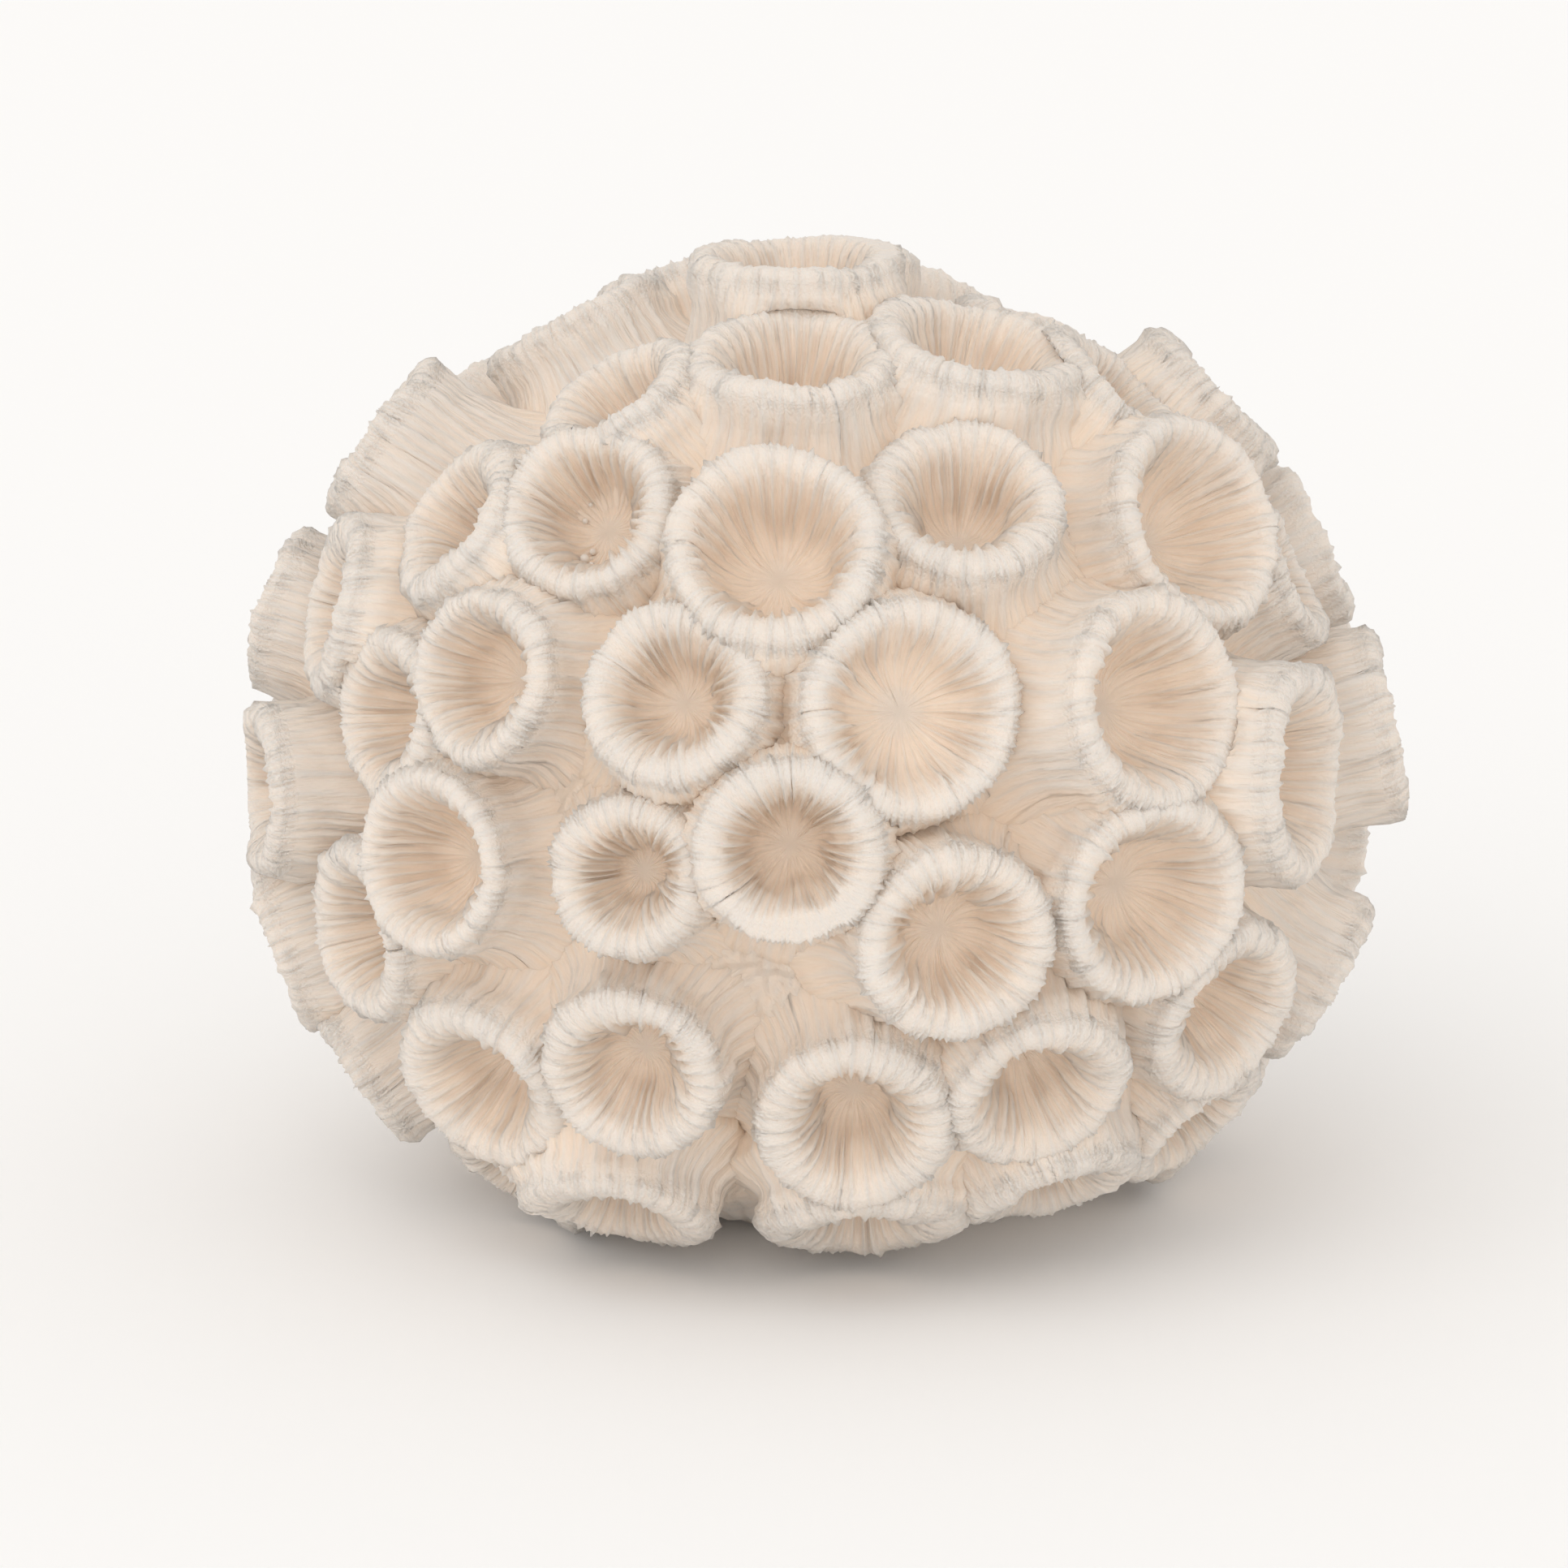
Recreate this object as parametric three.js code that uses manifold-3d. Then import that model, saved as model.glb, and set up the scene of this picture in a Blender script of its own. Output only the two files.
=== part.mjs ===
// A rounded head of tube coral, about as wide as a small melon and a little less tall. A solid
// body carries short thick-walled tubes that stand out on every side, each with a funnel-shaped
// cup in its end. The tubes flare at the foot and lean against each other in narrow valleys. The
// head is cut off flat underneath and stands on the cut. Millimetres, +Z up, the front faces -Y,
// and the origin is in the cut face under the middle of the head.
import * as THREE from "three";
import { mergeVertices } from "three/addons/utils/BufferGeometryUtils.js";
import Module from "manifold-3d";

// Driving dimensions
const MIDDLE_HEIGHT = 66; // the middle of the ball above the cut face
const SEAT_REACH = 62; // from the middle out to the flat seat under each tube
const LOW_SEAT_REACH = 69; // the same for the lowest tubes, where the body widens to its cut
const LOW_SEAT_LATITUDE = -40; // degrees, tubes below this sit on the low seats
const GAP = 0.3; // clearance between neighbouring solids
const SIDES = 8; // flats round a tube
const FOOT_FLARE = 2; // how much wider a tube's radius is at its foot
const FOOT_ROOT = 8; // how far a tube is drawn past its seat before it is cut there
const RIM_SLOPE = 2; // drop from the crest of a rim, round its mouth, to its full width
const FLOOR_SHARE = 0.42; // width of a cup's floor against the width of its mouth
const FLOOR_THICKNESS = 3; // least body left between a cup's floor and its seat
const NEIGHBOUR_ANGLE = 40; // degrees, tubes further apart than this never touch
const BODY_BALL_RADIUS = 74; // the ball that the body is planed from
const BODY_SEGMENTS = 12;
const BLOCK = 260; // side of the blocks used for cutting, larger than the head

// The tubes of the front, the crown and the two sides, each a piece of its own. Directions are in
// degrees seen from the middle of the ball: azimuth from the front towards +X, and latitude up.
// A row holds: the name, where the rim is (azimuth, latitude), how far out the rim is, where the
// mouth faces (azimuth, latitude), the tube's width, the mouth's width and the cup's depth.
const SINGLE_TUBES = [
  // the crown
  ["crown_top", -41, 85, 82, -100, 88, 32, 21, 13],
  ["crown_front", -9, 65, 80, 0, 77, 31, 20, 12],
  ["crown_front_right", 42, 65, 80, 60, 74, 33, 21, 12],
  ["crown_left", -45, 56, 80, -70, 56, 26, 15, 11],
  ["crown_right", 68, 54, 80, 86, 50, 26, 15, 11],
  ["crown_far_left", -115, 57, 79.5, -118, 56, 29, 17, 12],
  ["crown_back_left", -146, 60, 82, -145, 63, 26, 15, 11],
  ["crown_back_right", 112, 62, 75.5, 118, 62, 26, 15, 9],
  // the upper front
  ["brow_middle", -7, 38, 83, -5, 39, 32, 21, 13],
  ["brow_right", 20, 44, 80, 6, 53, 29, 17, 12],
  ["brow_left", -36, 41, 80, -22, 32, 27, 16, 11],
  ["brow_far_left", -57, 36, 82, -68, 34, 26, 15, 11],
  ["brow_far_right", 56, 36, 82, 48, 26, 33, 24, 13],
  // the middle of the front
  ["face_upper_left", -17, 22, 83, -12, 24, 27, 15, 10],
  ["face_upper_right", 9, 21, 81, 12, 17, 32, 22, 9],
  ["face_middle", -4, 7, 84, -1, 10, 27, 15, 12],
  ["face_lower_left", -21, 3, 81, -16, 8, 24, 12, 9],
  ["face_lower_right", 13, -3, 83, 16, 2, 29, 17, 11],
  // the left side
  ["left_top", -90, 38, 87, -97, 35, 27, 16, 11],
  ["left_upper", -74, 22, 84, -78, 13, 27, 16, 11],
  ["left_upper_edge", -95, 16, 89, -99, 19, 25, 16, 11],
  ["left_inner_upper", -42, 21, 82, -43, 14, 26, 17, 11],
  ["left_inner", -58, 14, 80, -58, 8, 26, 16, 10],
  ["left_middle", -79, 1, 88, -75, 0, 26, 16, 11],
  ["left_inner_middle", -46, 1, 82, -42, 8, 28, 19, 12],
  ["left_lower", -61, -10, 82, -59, -3, 27, 17, 11],
  ["left_lower_edge", -85, -17, 88, -88, -19, 27, 16, 11],
  ["left_foot", -80, -32, 85.5, -81, -33, 25, 15, 10],
  // the right side
  ["right_top", 92, 45, 84, 98, 43, 26, 15, 11],
  ["right_upper_edge", 78, 27, 80, 86, 26, 26, 15, 11],
  ["right_inner_upper", 37, 19, 84, 44, 15, 33, 23, 13],
  ["right_inner_edge", 57, 8, 85, 67, 3, 32, 21, 13],
  ["right_middle", 87, 6, 87, 90, 13, 29, 17, 12],
  ["right_inner_middle", 35, -1, 83, 30, 0, 31, 21, 12],
  ["right_inner_lower", 48, -16, 83, 43, -16, 29, 17, 11],
  ["right_lower_edge", 76, -20, 83.5, 83, -30, 28, 16, 11],
  // the lower front
  ["chin_left", -44, -25, 82, -35, -20, 29, 17, 11],
  ["chin_middle_left", -22, -19, 82, -15, -11, 27, 15, 10],
  ["chin_middle", 3, -25, 81, 1, -16, 29, 15, 11],
  ["chin_right", 24, -22, 82, 19, -28, 28, 16, 11],
  // the row that hangs just above the ground in front
  ["ground_left", -31, -42, 82, -18, -57, 29, 15, 11],
  ["ground_middle", 5, -45, 79, 4, -60, 31, 16, 10],
  ["ground_right", 33, -40, 80, 32, -57, 28, 15, 10],
  ["ground_far_right", 56, -34, 81, 55, -39, 26, 15, 10],
  ["ground_far_left", -58, -45, 80, -57, -47, 26, 15, 10],
];

// The tubes of the back and the underside grow in small clumps, each clump one piece. Their
// mouths face straight away from the middle. A row holds azimuth, latitude, reach and width.
const CLUMP_MOUTH = 0.58; // width of a mouth against the width of its tube
const CLUMP_DEPTH = 10.5;
const CLUMPS = {
  back_crown: [
    [176, 74, 79, 26],
    [160, 53, 80, 27],
    [141, 43, 81, 26],
  ],
  back_upper_left: [
    [-120, 34, 84, 28],
    [-148, 38, 84, 29],
  ],
  back_upper_middle: [
    [-177, 37, 83, 28],
    [161, 31, 84, 29],
  ],
  back_upper_right: [
    [122, 31, 84, 28],
    [102, 23, 84, 26],
    [142, 22, 83, 26],
  ],
  back_left: [
    [-117, 14, 86, 28],
    [-139, 18, 85, 27],
    [-101, -3, 86, 28],
  ],
  back_middle: [
    [-162, 15, 85, 30],
    [179, 14, 84, 28],
    [158, 8, 85, 27],
  ],
  back_right: [
    [136, 4, 85, 28],
    [114, 7, 86, 30],
  ],
  back_lower_left: [
    [-123, -5, 86, 28],
    [-145, -3, 86, 29],
    [-122, -27, 85, 28],
    [-101, -25, 85, 26],
  ],
  back_lower_middle: [
    [-168, -7, 85, 29],
    [170, -10, 85, 28],
    [-170, -30, 85, 29],
    [-146, -26, 85, 28],
  ],
  back_lower_right: [
    [148, -15, 86, 29],
    [125, -12, 86, 27],
    [138, -36, 84, 28],
    [164, -33, 84, 29],
  ],
  right_lower_back: [
    [107, -14, 86, 28],
    [112, -35, 84, 29],
    [84, -42, 81, 27],
  ],
  under_left: [
    [-86, -52, 78, 26],
    [-112, -47, 79, 28],
  ],
  under_back: [
    [-140, -47, 79, 28],
    [-172, -51, 78, 28],
    [155, -55, 77, 28],
    [120, -56, 77, 29],
  ],
};

const wasm = await Module();
wasm.setup();

// The unit direction that an azimuth and a latitude stand for.
function direction(azimuth, latitude) {
  const a = THREE.MathUtils.degToRad(azimuth);
  const l = THREE.MathUtils.degToRad(latitude);
  return new THREE.Vector3(Math.cos(l) * Math.sin(a), -Math.cos(l) * Math.cos(a), Math.sin(l));
}

// A closed three.js surface as a solid that can be joined and cut.
function solidFrom(geometry) {
  geometry.deleteAttribute("normal");
  geometry.deleteAttribute("uv");
  const merged = mergeVertices(geometry, 1e-4);
  return new wasm.Manifold(
    new wasm.Mesh({
      numProp: 3,
      vertProperties: merged.attributes.position.array,
      triVerts: new Uint32Array(merged.index.array),
    }),
  );
}

// A tube's places and sizes worked out from its row. The middle of the ball is the zero point.
function makeTube(name, azimuth, latitude, reach, faceAzimuth, faceLatitude, width, mouth, depth) {
  const outward = direction(azimuth, latitude);
  const axis = direction(faceAzimuth, faceLatitude);
  const rim = outward.clone().multiplyScalar(reach);
  const seatReach = latitude < LOW_SEAT_LATITUDE ? LOW_SEAT_REACH : SEAT_REACH;
  const length = (reach - seatReach - GAP) / axis.dot(outward);
  return {
    name,
    outward,
    axis,
    rim,
    seatReach,
    length,
    foot: rim.clone().addScaledVector(axis, -length),
    radius: width / 2,
    mouthRadius: mouth / 2,
    depth: Math.min(depth, length - FLOOR_THICKNESS),
  };
}

function listTubes() {
  const tubes = SINGLE_TUBES.map((row) => makeTube(...row));
  for (const [name, rows] of Object.entries(CLUMPS)) {
    for (const [azimuth, latitude, reach, width] of rows) {
      const mouth = width * CLUMP_MOUTH;
      const away = [azimuth, latitude];
      const tube = makeTube(name, ...away, reach, ...away, width, mouth, CLUMP_DEPTH);
      tubes.push(tube);
    }
  }
  return tubes;
}

// A block whose near face passes through a point and looks along -normal: it holds everything
// that lies beyond the point in the direction of the normal.
function blockBeyond(point, normal) {
  const block = new THREE.BoxGeometry(BLOCK, BLOCK, BLOCK);
  block.translate(0, 0, BLOCK / 2);
  const turn = new THREE.Quaternion().setFromUnitVectors(new THREE.Vector3(0, 0, 1), normal);
  block.applyQuaternion(turn);
  block.translate(point.x, point.y, point.z);
  return solidFrom(block);
}

// One tube before it is trimmed, turned from a profile that runs up the outer wall from the foot,
// over the rim and down the wall of the cup to its floor. Height zero is the crest of the rim.
function untrimmedTube(tube) {
  const root = tube.length + FOOT_ROOT;
  const profile = [
    new THREE.Vector2(0, -root),
    new THREE.Vector2(tube.radius + FOOT_FLARE, -root),
    new THREE.Vector2(tube.radius, -RIM_SLOPE),
    new THREE.Vector2(tube.mouthRadius, 0),
    new THREE.Vector2(tube.mouthRadius * FLOOR_SHARE, -tube.depth),
    new THREE.Vector2(0, -tube.depth),
  ];
  const turned = new THREE.LatheGeometry(profile, SIDES);
  const up = new THREE.Vector3(0, 1, 0);
  turned.applyQuaternion(new THREE.Quaternion().setFromUnitVectors(up, tube.axis));
  turned.translate(tube.rim.x, tube.rim.y, tube.rim.z);
  return solidFrom(turned);
}

// The flat face between two neighbours stands upright on the ball, nearer to the slimmer one.
function wallBetween(tube, other) {
  const here = tube.rim.clone().add(tube.foot).multiplyScalar(0.5);
  const there = other.rim.clone().add(other.foot).multiplyScalar(0.5);
  const share = tube.radius / (tube.radius + other.radius);
  const point = here.clone().lerp(there, share);
  const outward = point.clone().normalize();
  const normal = there.sub(here);
  normal.addScaledVector(outward, -normal.dot(outward)).normalize();
  return { point: point.addScaledVector(normal, -GAP / 2), normal };
}

// A tube cut back to its own side of every neighbour that belongs to another piece.
function trimmedTube(tube, tubes) {
  let solid = untrimmedTube(tube);
  const closest = Math.cos(THREE.MathUtils.degToRad(NEIGHBOUR_ANGLE));
  for (const other of tubes) {
    if (other.name === tube.name || other.outward.dot(tube.outward) < closest) continue;
    const { point, normal } = wallBetween(tube, other);
    solid = solid.subtract(blockBeyond(point, normal));
  }
  const seat = tube.outward.clone().multiplyScalar(tube.seatReach + GAP);
  return solid.subtract(blockBeyond(seat, tube.outward.clone().negate()));
}

// Everything is cut off flat at the ground.
function aboveGround(solid) {
  const down = new THREE.Vector3(0, 0, -1);
  return solid.subtract(blockBeyond(down.clone().multiplyScalar(MIDDLE_HEIGHT), down));
}

// The body of the head is a ball planed flat under each tube, and it reaches down to the cut.
// It shows in the valleys between the tubes and underneath.
function makeBody(tubes) {
  let solid = solidFrom(new THREE.SphereGeometry(BODY_BALL_RADIUS, BODY_SEGMENTS, BODY_SEGMENTS / 2));
  for (const tube of tubes) {
    const seat = tube.outward.clone().multiplyScalar(tube.seatReach);
    solid = solid.subtract(blockBeyond(seat, tube.outward));
  }
  return aboveGround(solid);
}

const coral = new THREE.MeshStandardMaterial({ color: "#e6dbcf", roughness: 0.6, metalness: 0 });
const bodyCoral = new THREE.MeshStandardMaterial({ color: "#d3bfab", roughness: 0.7, metalness: 0 });

function addPiece(group, name, solid, material) {
  const { vertProperties, triVerts } = solid.getMesh();
  const geometry = new THREE.BufferGeometry();
  geometry.setAttribute("position", new THREE.BufferAttribute(new Float32Array(vertProperties), 3));
  geometry.setIndex(new THREE.BufferAttribute(new Uint32Array(triVerts), 1));
  geometry.translate(0, 0, MIDDLE_HEIGHT);
  geometry.computeVertexNormals();
  const mesh = new THREE.Mesh(geometry, material.clone());
  mesh.name = name;
  group.add(mesh);
}

function buildHead() {
  const tubes = listTubes();
  const group = new THREE.Group();
  group.name = "coral_head";
  addPiece(group, "body", makeBody(tubes), bodyCoral);
  const pieces = new Map();
  for (const tube of tubes) {
    const solid = aboveGround(trimmedTube(tube, tubes));
    const joined = pieces.get(tube.name);
    pieces.set(tube.name, joined ? joined.add(solid) : solid);
  }
  for (const [name, solid] of pieces) addPiece(group, name, solid, coral);
  return group;
}

export default buildHead();
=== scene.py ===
"""The finished look of a rounded head of tube coral cast in cream resin.

Every tube is a closed surface swept round its own axis: cup floor, ribbed cup wall, rounded
toothed rim, ribbed outer wall and flared foot. Neighbouring tubes run into each other and into
the body in soft valleys. Lengths are in millimetres until a mesh is made, and points are measured
from the middle of the ball until they are placed on the ground.
"""

import math
from collections import namedtuple

import bpy
import numpy as np
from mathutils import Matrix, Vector


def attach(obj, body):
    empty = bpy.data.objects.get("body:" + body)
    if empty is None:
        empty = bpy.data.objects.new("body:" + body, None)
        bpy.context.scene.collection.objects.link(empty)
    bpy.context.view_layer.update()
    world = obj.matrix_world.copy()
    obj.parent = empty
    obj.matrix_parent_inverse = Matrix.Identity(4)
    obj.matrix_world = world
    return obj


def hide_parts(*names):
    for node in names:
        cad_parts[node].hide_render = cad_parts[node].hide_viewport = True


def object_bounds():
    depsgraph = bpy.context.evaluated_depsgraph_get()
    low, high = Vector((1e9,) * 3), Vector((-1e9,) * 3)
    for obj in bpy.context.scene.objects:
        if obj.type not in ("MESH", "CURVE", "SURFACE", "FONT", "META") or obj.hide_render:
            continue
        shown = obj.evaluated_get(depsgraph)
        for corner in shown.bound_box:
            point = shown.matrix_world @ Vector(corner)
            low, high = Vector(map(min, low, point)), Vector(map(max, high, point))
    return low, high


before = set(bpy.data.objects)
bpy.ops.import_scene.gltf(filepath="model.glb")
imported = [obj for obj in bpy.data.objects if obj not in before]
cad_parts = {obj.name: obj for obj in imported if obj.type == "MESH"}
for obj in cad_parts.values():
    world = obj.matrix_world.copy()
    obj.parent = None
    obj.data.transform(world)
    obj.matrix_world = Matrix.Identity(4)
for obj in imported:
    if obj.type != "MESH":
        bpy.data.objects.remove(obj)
cad_low, cad_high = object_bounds()

MM = 0.001
TURN = 2.0 * math.pi

# The ball that the head is built round
MIDDLE_HEIGHT = 66.0
BODY_RADIUS = 64.5
LOW_BODY_RADIUS = 70.5
LOW_BODY_FROM = -35.0  # latitudes between which the body widens
LOW_BODY_TO = -55.0
SEAT_REACH = 62.0  # how far out a tube's length is counted from
LOW_SEAT_REACH = 69.0
LOW_SEAT_LATITUDE = -40.0
NEAR = math.cos(math.radians(50.0))  # tubes further apart than this never touch

# A row holds: name, where the rim is (azimuth, latitude), how far out it is, where the mouth
# faces (azimuth, latitude), the tube's width, the mouth's width and the cup's depth.
SINGLE_TUBES = [
    # the crown
    ("crown_top", -41, 85, 82, -100, 88, 32, 21, 13),
    ("crown_front", -9, 65, 80, 0, 77, 31, 20, 12),
    ("crown_front_right", 42, 65, 80, 60, 74, 33, 21, 12),
    ("crown_left", -45, 56, 80, -70, 56, 26, 15, 11),
    ("crown_right", 68, 54, 80, 86, 50, 26, 15, 11),
    ("crown_far_left", -115, 57, 79.5, -118, 56, 29, 17, 12),
    ("crown_back_left", -146, 60, 82, -145, 63, 26, 15, 11),
    ("crown_back_right", 112, 62, 75.5, 118, 62, 26, 15, 9),
    # the upper front
    ("brow_middle", -7, 38, 83, -5, 39, 32, 21, 13),
    ("brow_right", 20, 44, 80, 6, 53, 29, 17, 12),
    ("brow_left", -36, 41, 80, -22, 32, 27, 16, 11),
    ("brow_far_left", -57, 36, 82, -68, 34, 26, 15, 11),
    ("brow_far_right", 56, 36, 82, 48, 26, 33, 24, 13),
    # the middle of the front
    ("face_upper_left", -17, 22, 83, -12, 24, 27, 15, 10),
    ("face_upper_right", 9, 21, 81, 12, 17, 32, 22, 9),
    ("face_middle", -4, 7, 84, -1, 10, 27, 15, 12),
    ("face_lower_left", -21, 3, 81, -16, 8, 24, 12, 9),
    ("face_lower_right", 13, -3, 83, 16, 2, 29, 17, 11),
    # the left side
    ("left_top", -90, 38, 87, -97, 35, 27, 16, 11),
    ("left_upper", -74, 22, 84, -78, 13, 27, 16, 11),
    ("left_upper_edge", -95, 16, 89, -99, 19, 25, 16, 11),
    ("left_inner_upper", -42, 21, 82, -43, 14, 26, 17, 11),
    ("left_inner", -58, 14, 80, -58, 8, 26, 16, 10),
    ("left_middle", -79, 1, 88, -75, 0, 26, 16, 11),
    ("left_inner_middle", -46, 1, 82, -42, 8, 28, 19, 12),
    ("left_lower", -61, -10, 82, -59, -3, 27, 17, 11),
    ("left_lower_edge", -85, -17, 88, -88, -19, 27, 16, 11),
    ("left_foot", -80, -32, 85.5, -81, -33, 25, 15, 10),
    # the right side
    ("right_top", 92, 45, 84, 98, 43, 26, 15, 11),
    ("right_upper_edge", 78, 27, 80, 86, 26, 26, 15, 11),
    ("right_inner_upper", 37, 19, 84, 44, 15, 33, 23, 13),
    ("right_inner_edge", 57, 8, 85, 67, 3, 32, 21, 13),
    ("right_middle", 87, 6, 87, 90, 13, 29, 17, 12),
    ("right_inner_middle", 35, -1, 83, 30, 0, 31, 21, 12),
    ("right_inner_lower", 48, -16, 83, 43, -16, 29, 17, 11),
    ("right_lower_edge", 76, -20, 83.5, 83, -30, 28, 16, 11),
    # the lower front
    ("chin_left", -44, -25, 82, -35, -20, 29, 17, 11),
    ("chin_middle_left", -22, -19, 82, -15, -11, 27, 15, 10),
    ("chin_middle", 3, -25, 81, 1, -16, 29, 15, 11),
    ("chin_right", 24, -22, 82, 19, -28, 28, 16, 11),
    # the row that hangs just above the ground in front
    ("ground_left", -31, -42, 82, -18, -57, 29, 15, 11),
    ("ground_middle", 5, -45, 79, 4, -60, 31, 16, 10),
    ("ground_right", 33, -40, 80, 32, -57, 28, 15, 10),
    ("ground_far_right", 56, -34, 81, 55, -39, 26, 15, 10),
    ("ground_far_left", -58, -45, 80, -57, -47, 26, 15, 10),
]

# The clumps of the back and the underside. A row holds azimuth, latitude, reach and width.
CLUMP_MOUTH = 0.58  # of the tube's width
CLUMP_DEPTH = 10.5
CLUMPS = {
    "back_crown": [(176, 74, 79, 26), (160, 53, 80, 27), (141, 43, 81, 26)],
    "back_upper_left": [(-120, 34, 84, 28), (-148, 38, 84, 29)],
    "back_upper_middle": [(-177, 37, 83, 28), (161, 31, 84, 29)],
    "back_upper_right": [(122, 31, 84, 28), (102, 23, 84, 26), (142, 22, 83, 26)],
    "back_left": [(-117, 14, 86, 28), (-139, 18, 85, 27), (-101, -3, 86, 28)],
    "back_middle": [(-162, 15, 85, 30), (179, 14, 84, 28), (158, 8, 85, 27)],
    "back_right": [(136, 4, 85, 28), (114, 7, 86, 30)],
    "back_lower_left": [
        (-123, -5, 86, 28),
        (-145, -3, 86, 29),
        (-122, -27, 85, 28),
        (-101, -25, 85, 26),
    ],
    "back_lower_middle": [
        (-168, -7, 85, 29),
        (170, -10, 85, 28),
        (-170, -30, 85, 29),
        (-146, -26, 85, 28),
    ],
    "back_lower_right": [
        (148, -15, 86, 29),
        (125, -12, 86, 27),
        (138, -36, 84, 28),
        (164, -33, 84, 29),
    ],
    "right_lower_back": [(107, -14, 86, 28), (112, -35, 84, 29), (84, -42, 81, 27)],
    "under_left": [(-86, -52, 78, 26), (-112, -47, 79, 28)],
    "under_back": [
        (-140, -47, 79, 28),
        (-172, -51, 78, 28),
        (155, -55, 77, 28),
        (120, -56, 77, 29),
    ],
}

# The shape of a tube
VISUAL_WIDTH = 0.98  # of the solid's width, so that the teeth stay inside it
CREST_SHARE = 0.36  # how far into the thickness of a rim its crest lies, from outside
RIM_HEIGHT = 2.0  # from a rim's crest down to its full width outside
FLOOR_SHARE = 0.38  # radius of a cup's floor against its mouth
FLOOR_COVER = 3.0  # a cup's floor stays this far above the tube's seat
FOOT_FLARE = 3.6
FLARE_FROM = 4.0  # depth under the crest where the flare starts
WAIST = 0.5  # how far the wall draws in under its rim
WAIST_SHARE = 0.25  # the share of the flare in which it does so
ROOT = 6.0  # how far a tube runs on inside the body
ROOT_TAPER = 0.8  # radius lost for every millimetre of root

# A cup's wall curves up from its floor to its crest, drawn towards a low and a high point
LOW_PULL_RADIUS = 0.98  # of the mouth's radius
LOW_PULL_DEPTH = 0.86  # of the cup's depth
HIGH_PULL_RADIUS = 0.94
HIGH_PULL_DEPTH = 0.2  # in millimetres

# Where surfaces meet
BLEND = 9.0  # width of the soft valley
FILLET_HEIGHT = BLEND / 3.0  # how far a surface bulges where it touches another one
MOST_BULGE = 5.0  # however many surfaces meet
BLEND_ROWS = 2.0  # rows under the rim over which the bulges set in
CUP_MARGIN = 1.2  # wall or floor that is always left round an open cup
OVER_RIM = 0.5  # points higher than this over a crest aren't in its cup
CUP_STEPS = 12  # points on a cup's wall that others are compared with

# Main ribs are six columns of vertices apart, with a lesser rib half way between. Teeth take every
# second column. The numbers are heights from column to column.
MAIN_RIBS = 33
BACK_MAIN_RIBS = 18
RIB_COLUMNS = 6
MAIN_SHAPE = (1.0, 0.4, 0.0, 0.0, 0.0, 0.4)
LESSER_SHAPE = (0.0, 0.0, 0.1, 1.0, 0.1, 0.0)
TOOTH_SHAPE = (1.0, 0.0, 1.0, 0.0, 1.0, 0.0)
RIB_SHIFT = -2  # columns, so that both flanks of a main rib are as strong as its middle
FRONT_ROWS = (3, 13, 6, 15)  # floor, cup wall, outside of the rim, outer wall
BACK_ROWS = (3, 8, 4, 11)

# Least and most that a single rib, tooth or grain is raised, as shares of the heights further down
MAIN_STRENGTH = (0.5, 1.3)
LESSER_STRENGTH = (0.3, 1.2)
TOOTH_STRENGTH = (0.2, 1.2)
GRAIN_STRENGTH = (0.5, 1.5)
RIPPLE = 0.3  # share by which a main rib rises and falls on its way
RIPPLE_LENGTH = 2.6
RIPPLE_SHIFT = 9.0

# Heights of main ribs, lesser ribs and teeth on each part of a tube, and its painted shade, a warm
# tint for shade and for light glowing through the resin, which is 0 on the palest, best-lit rim and
# 1 in the most shaded recess. The deeper a cup, the more of its gain is added.
FLOOR_DOME = 0.4
FLOOR_MAIN = 0.14
FLOOR_SHADE = 0.2
FLOOR_SHADE_GAIN = 0.8

CUP_MAIN = 0.3
CUP_MAIN_GAIN = 0.85
CUP_MAIN_RISE = 2.2  # so that the main ribs are at their highest before half way up
CUP_LESSER = 0.6
CUP_LESSER_POWER = 1.2
CUP_TEETH = 0.3
CUP_RIM_LOSS = 0.6  # share of the ribs that is gone at the rim
CUP_SHADE = 0.5
CUP_SHADE_GAIN = 0.6
CUP_SHADE_LOSS = 0.96
CUP_SHADE_POWER = 2.2

RIM_MAIN = 0.34
RIM_LESSER = 0.2
RIM_TEETH = 0.2
RIM_TEETH_GAIN = 0.32
RIM_SHADE = 0.02
RIM_SHADE_GAIN = 0.05

WALL_MAIN = 0.62
WALL_MAIN_LOSS = 0.15
WALL_LESSER = 0.46
WALL_LESSER_LOSS = 0.12
WALL_TEETH = 0.12
WALL_SHADE = 0.1
WALL_SHADE_GAIN = 0.5

# Painted shade from the shape: grooves are tinted warm as shaded, rib crests pale as lit, and
# crowded walls warm as shaded
CROWD_SHADE = 0.18
GROOVE_SHADE = 1.2
GROOVE_HEIGHT = 0.28  # ribs higher than this are painted pale, as lit
MOST_PALE = 0.1
GROOVE_FROM = 6.0  # distance from the middle of the floor where the painted shade in grooves is full

# Wobbles round a tube. The lobes are waves round the tube and their share.
LOBES = ((2, 1.0), (3, 0.7), (5, 0.4))
LOBE_STRENGTH = (0.5, 1.0)
OUTLINE_LOBES = 0.02  # shares of the radius
OUTLINE_ROUGHNESS = 0.006
INNER_LOBES = 0.035
INNER_SHARE = 0.8  # of the mouth, up to where only the inner lobes count
LIFT_LOBES = 0.45  # the rim's rise and fall
LIFT_ROUGHNESS = 0.16
LIFT_DEPTH = 9.0  # under the crest, where the rise and fall ends
ROUGH_COLUMNS = 5  # how many neighbours are evened out
DRIFT = 0.03  # radians that ribs wander
DRIFT_COLUMNS = 7
SWAY = 0.03
SWAY_COLUMNS = 25
SWAY_LENGTH = 3.4
SWAY_SHIFT = 2.0
EVENED_SCALE = 0.6  # keeps nearly all evened random numbers between -1 and 1

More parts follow.
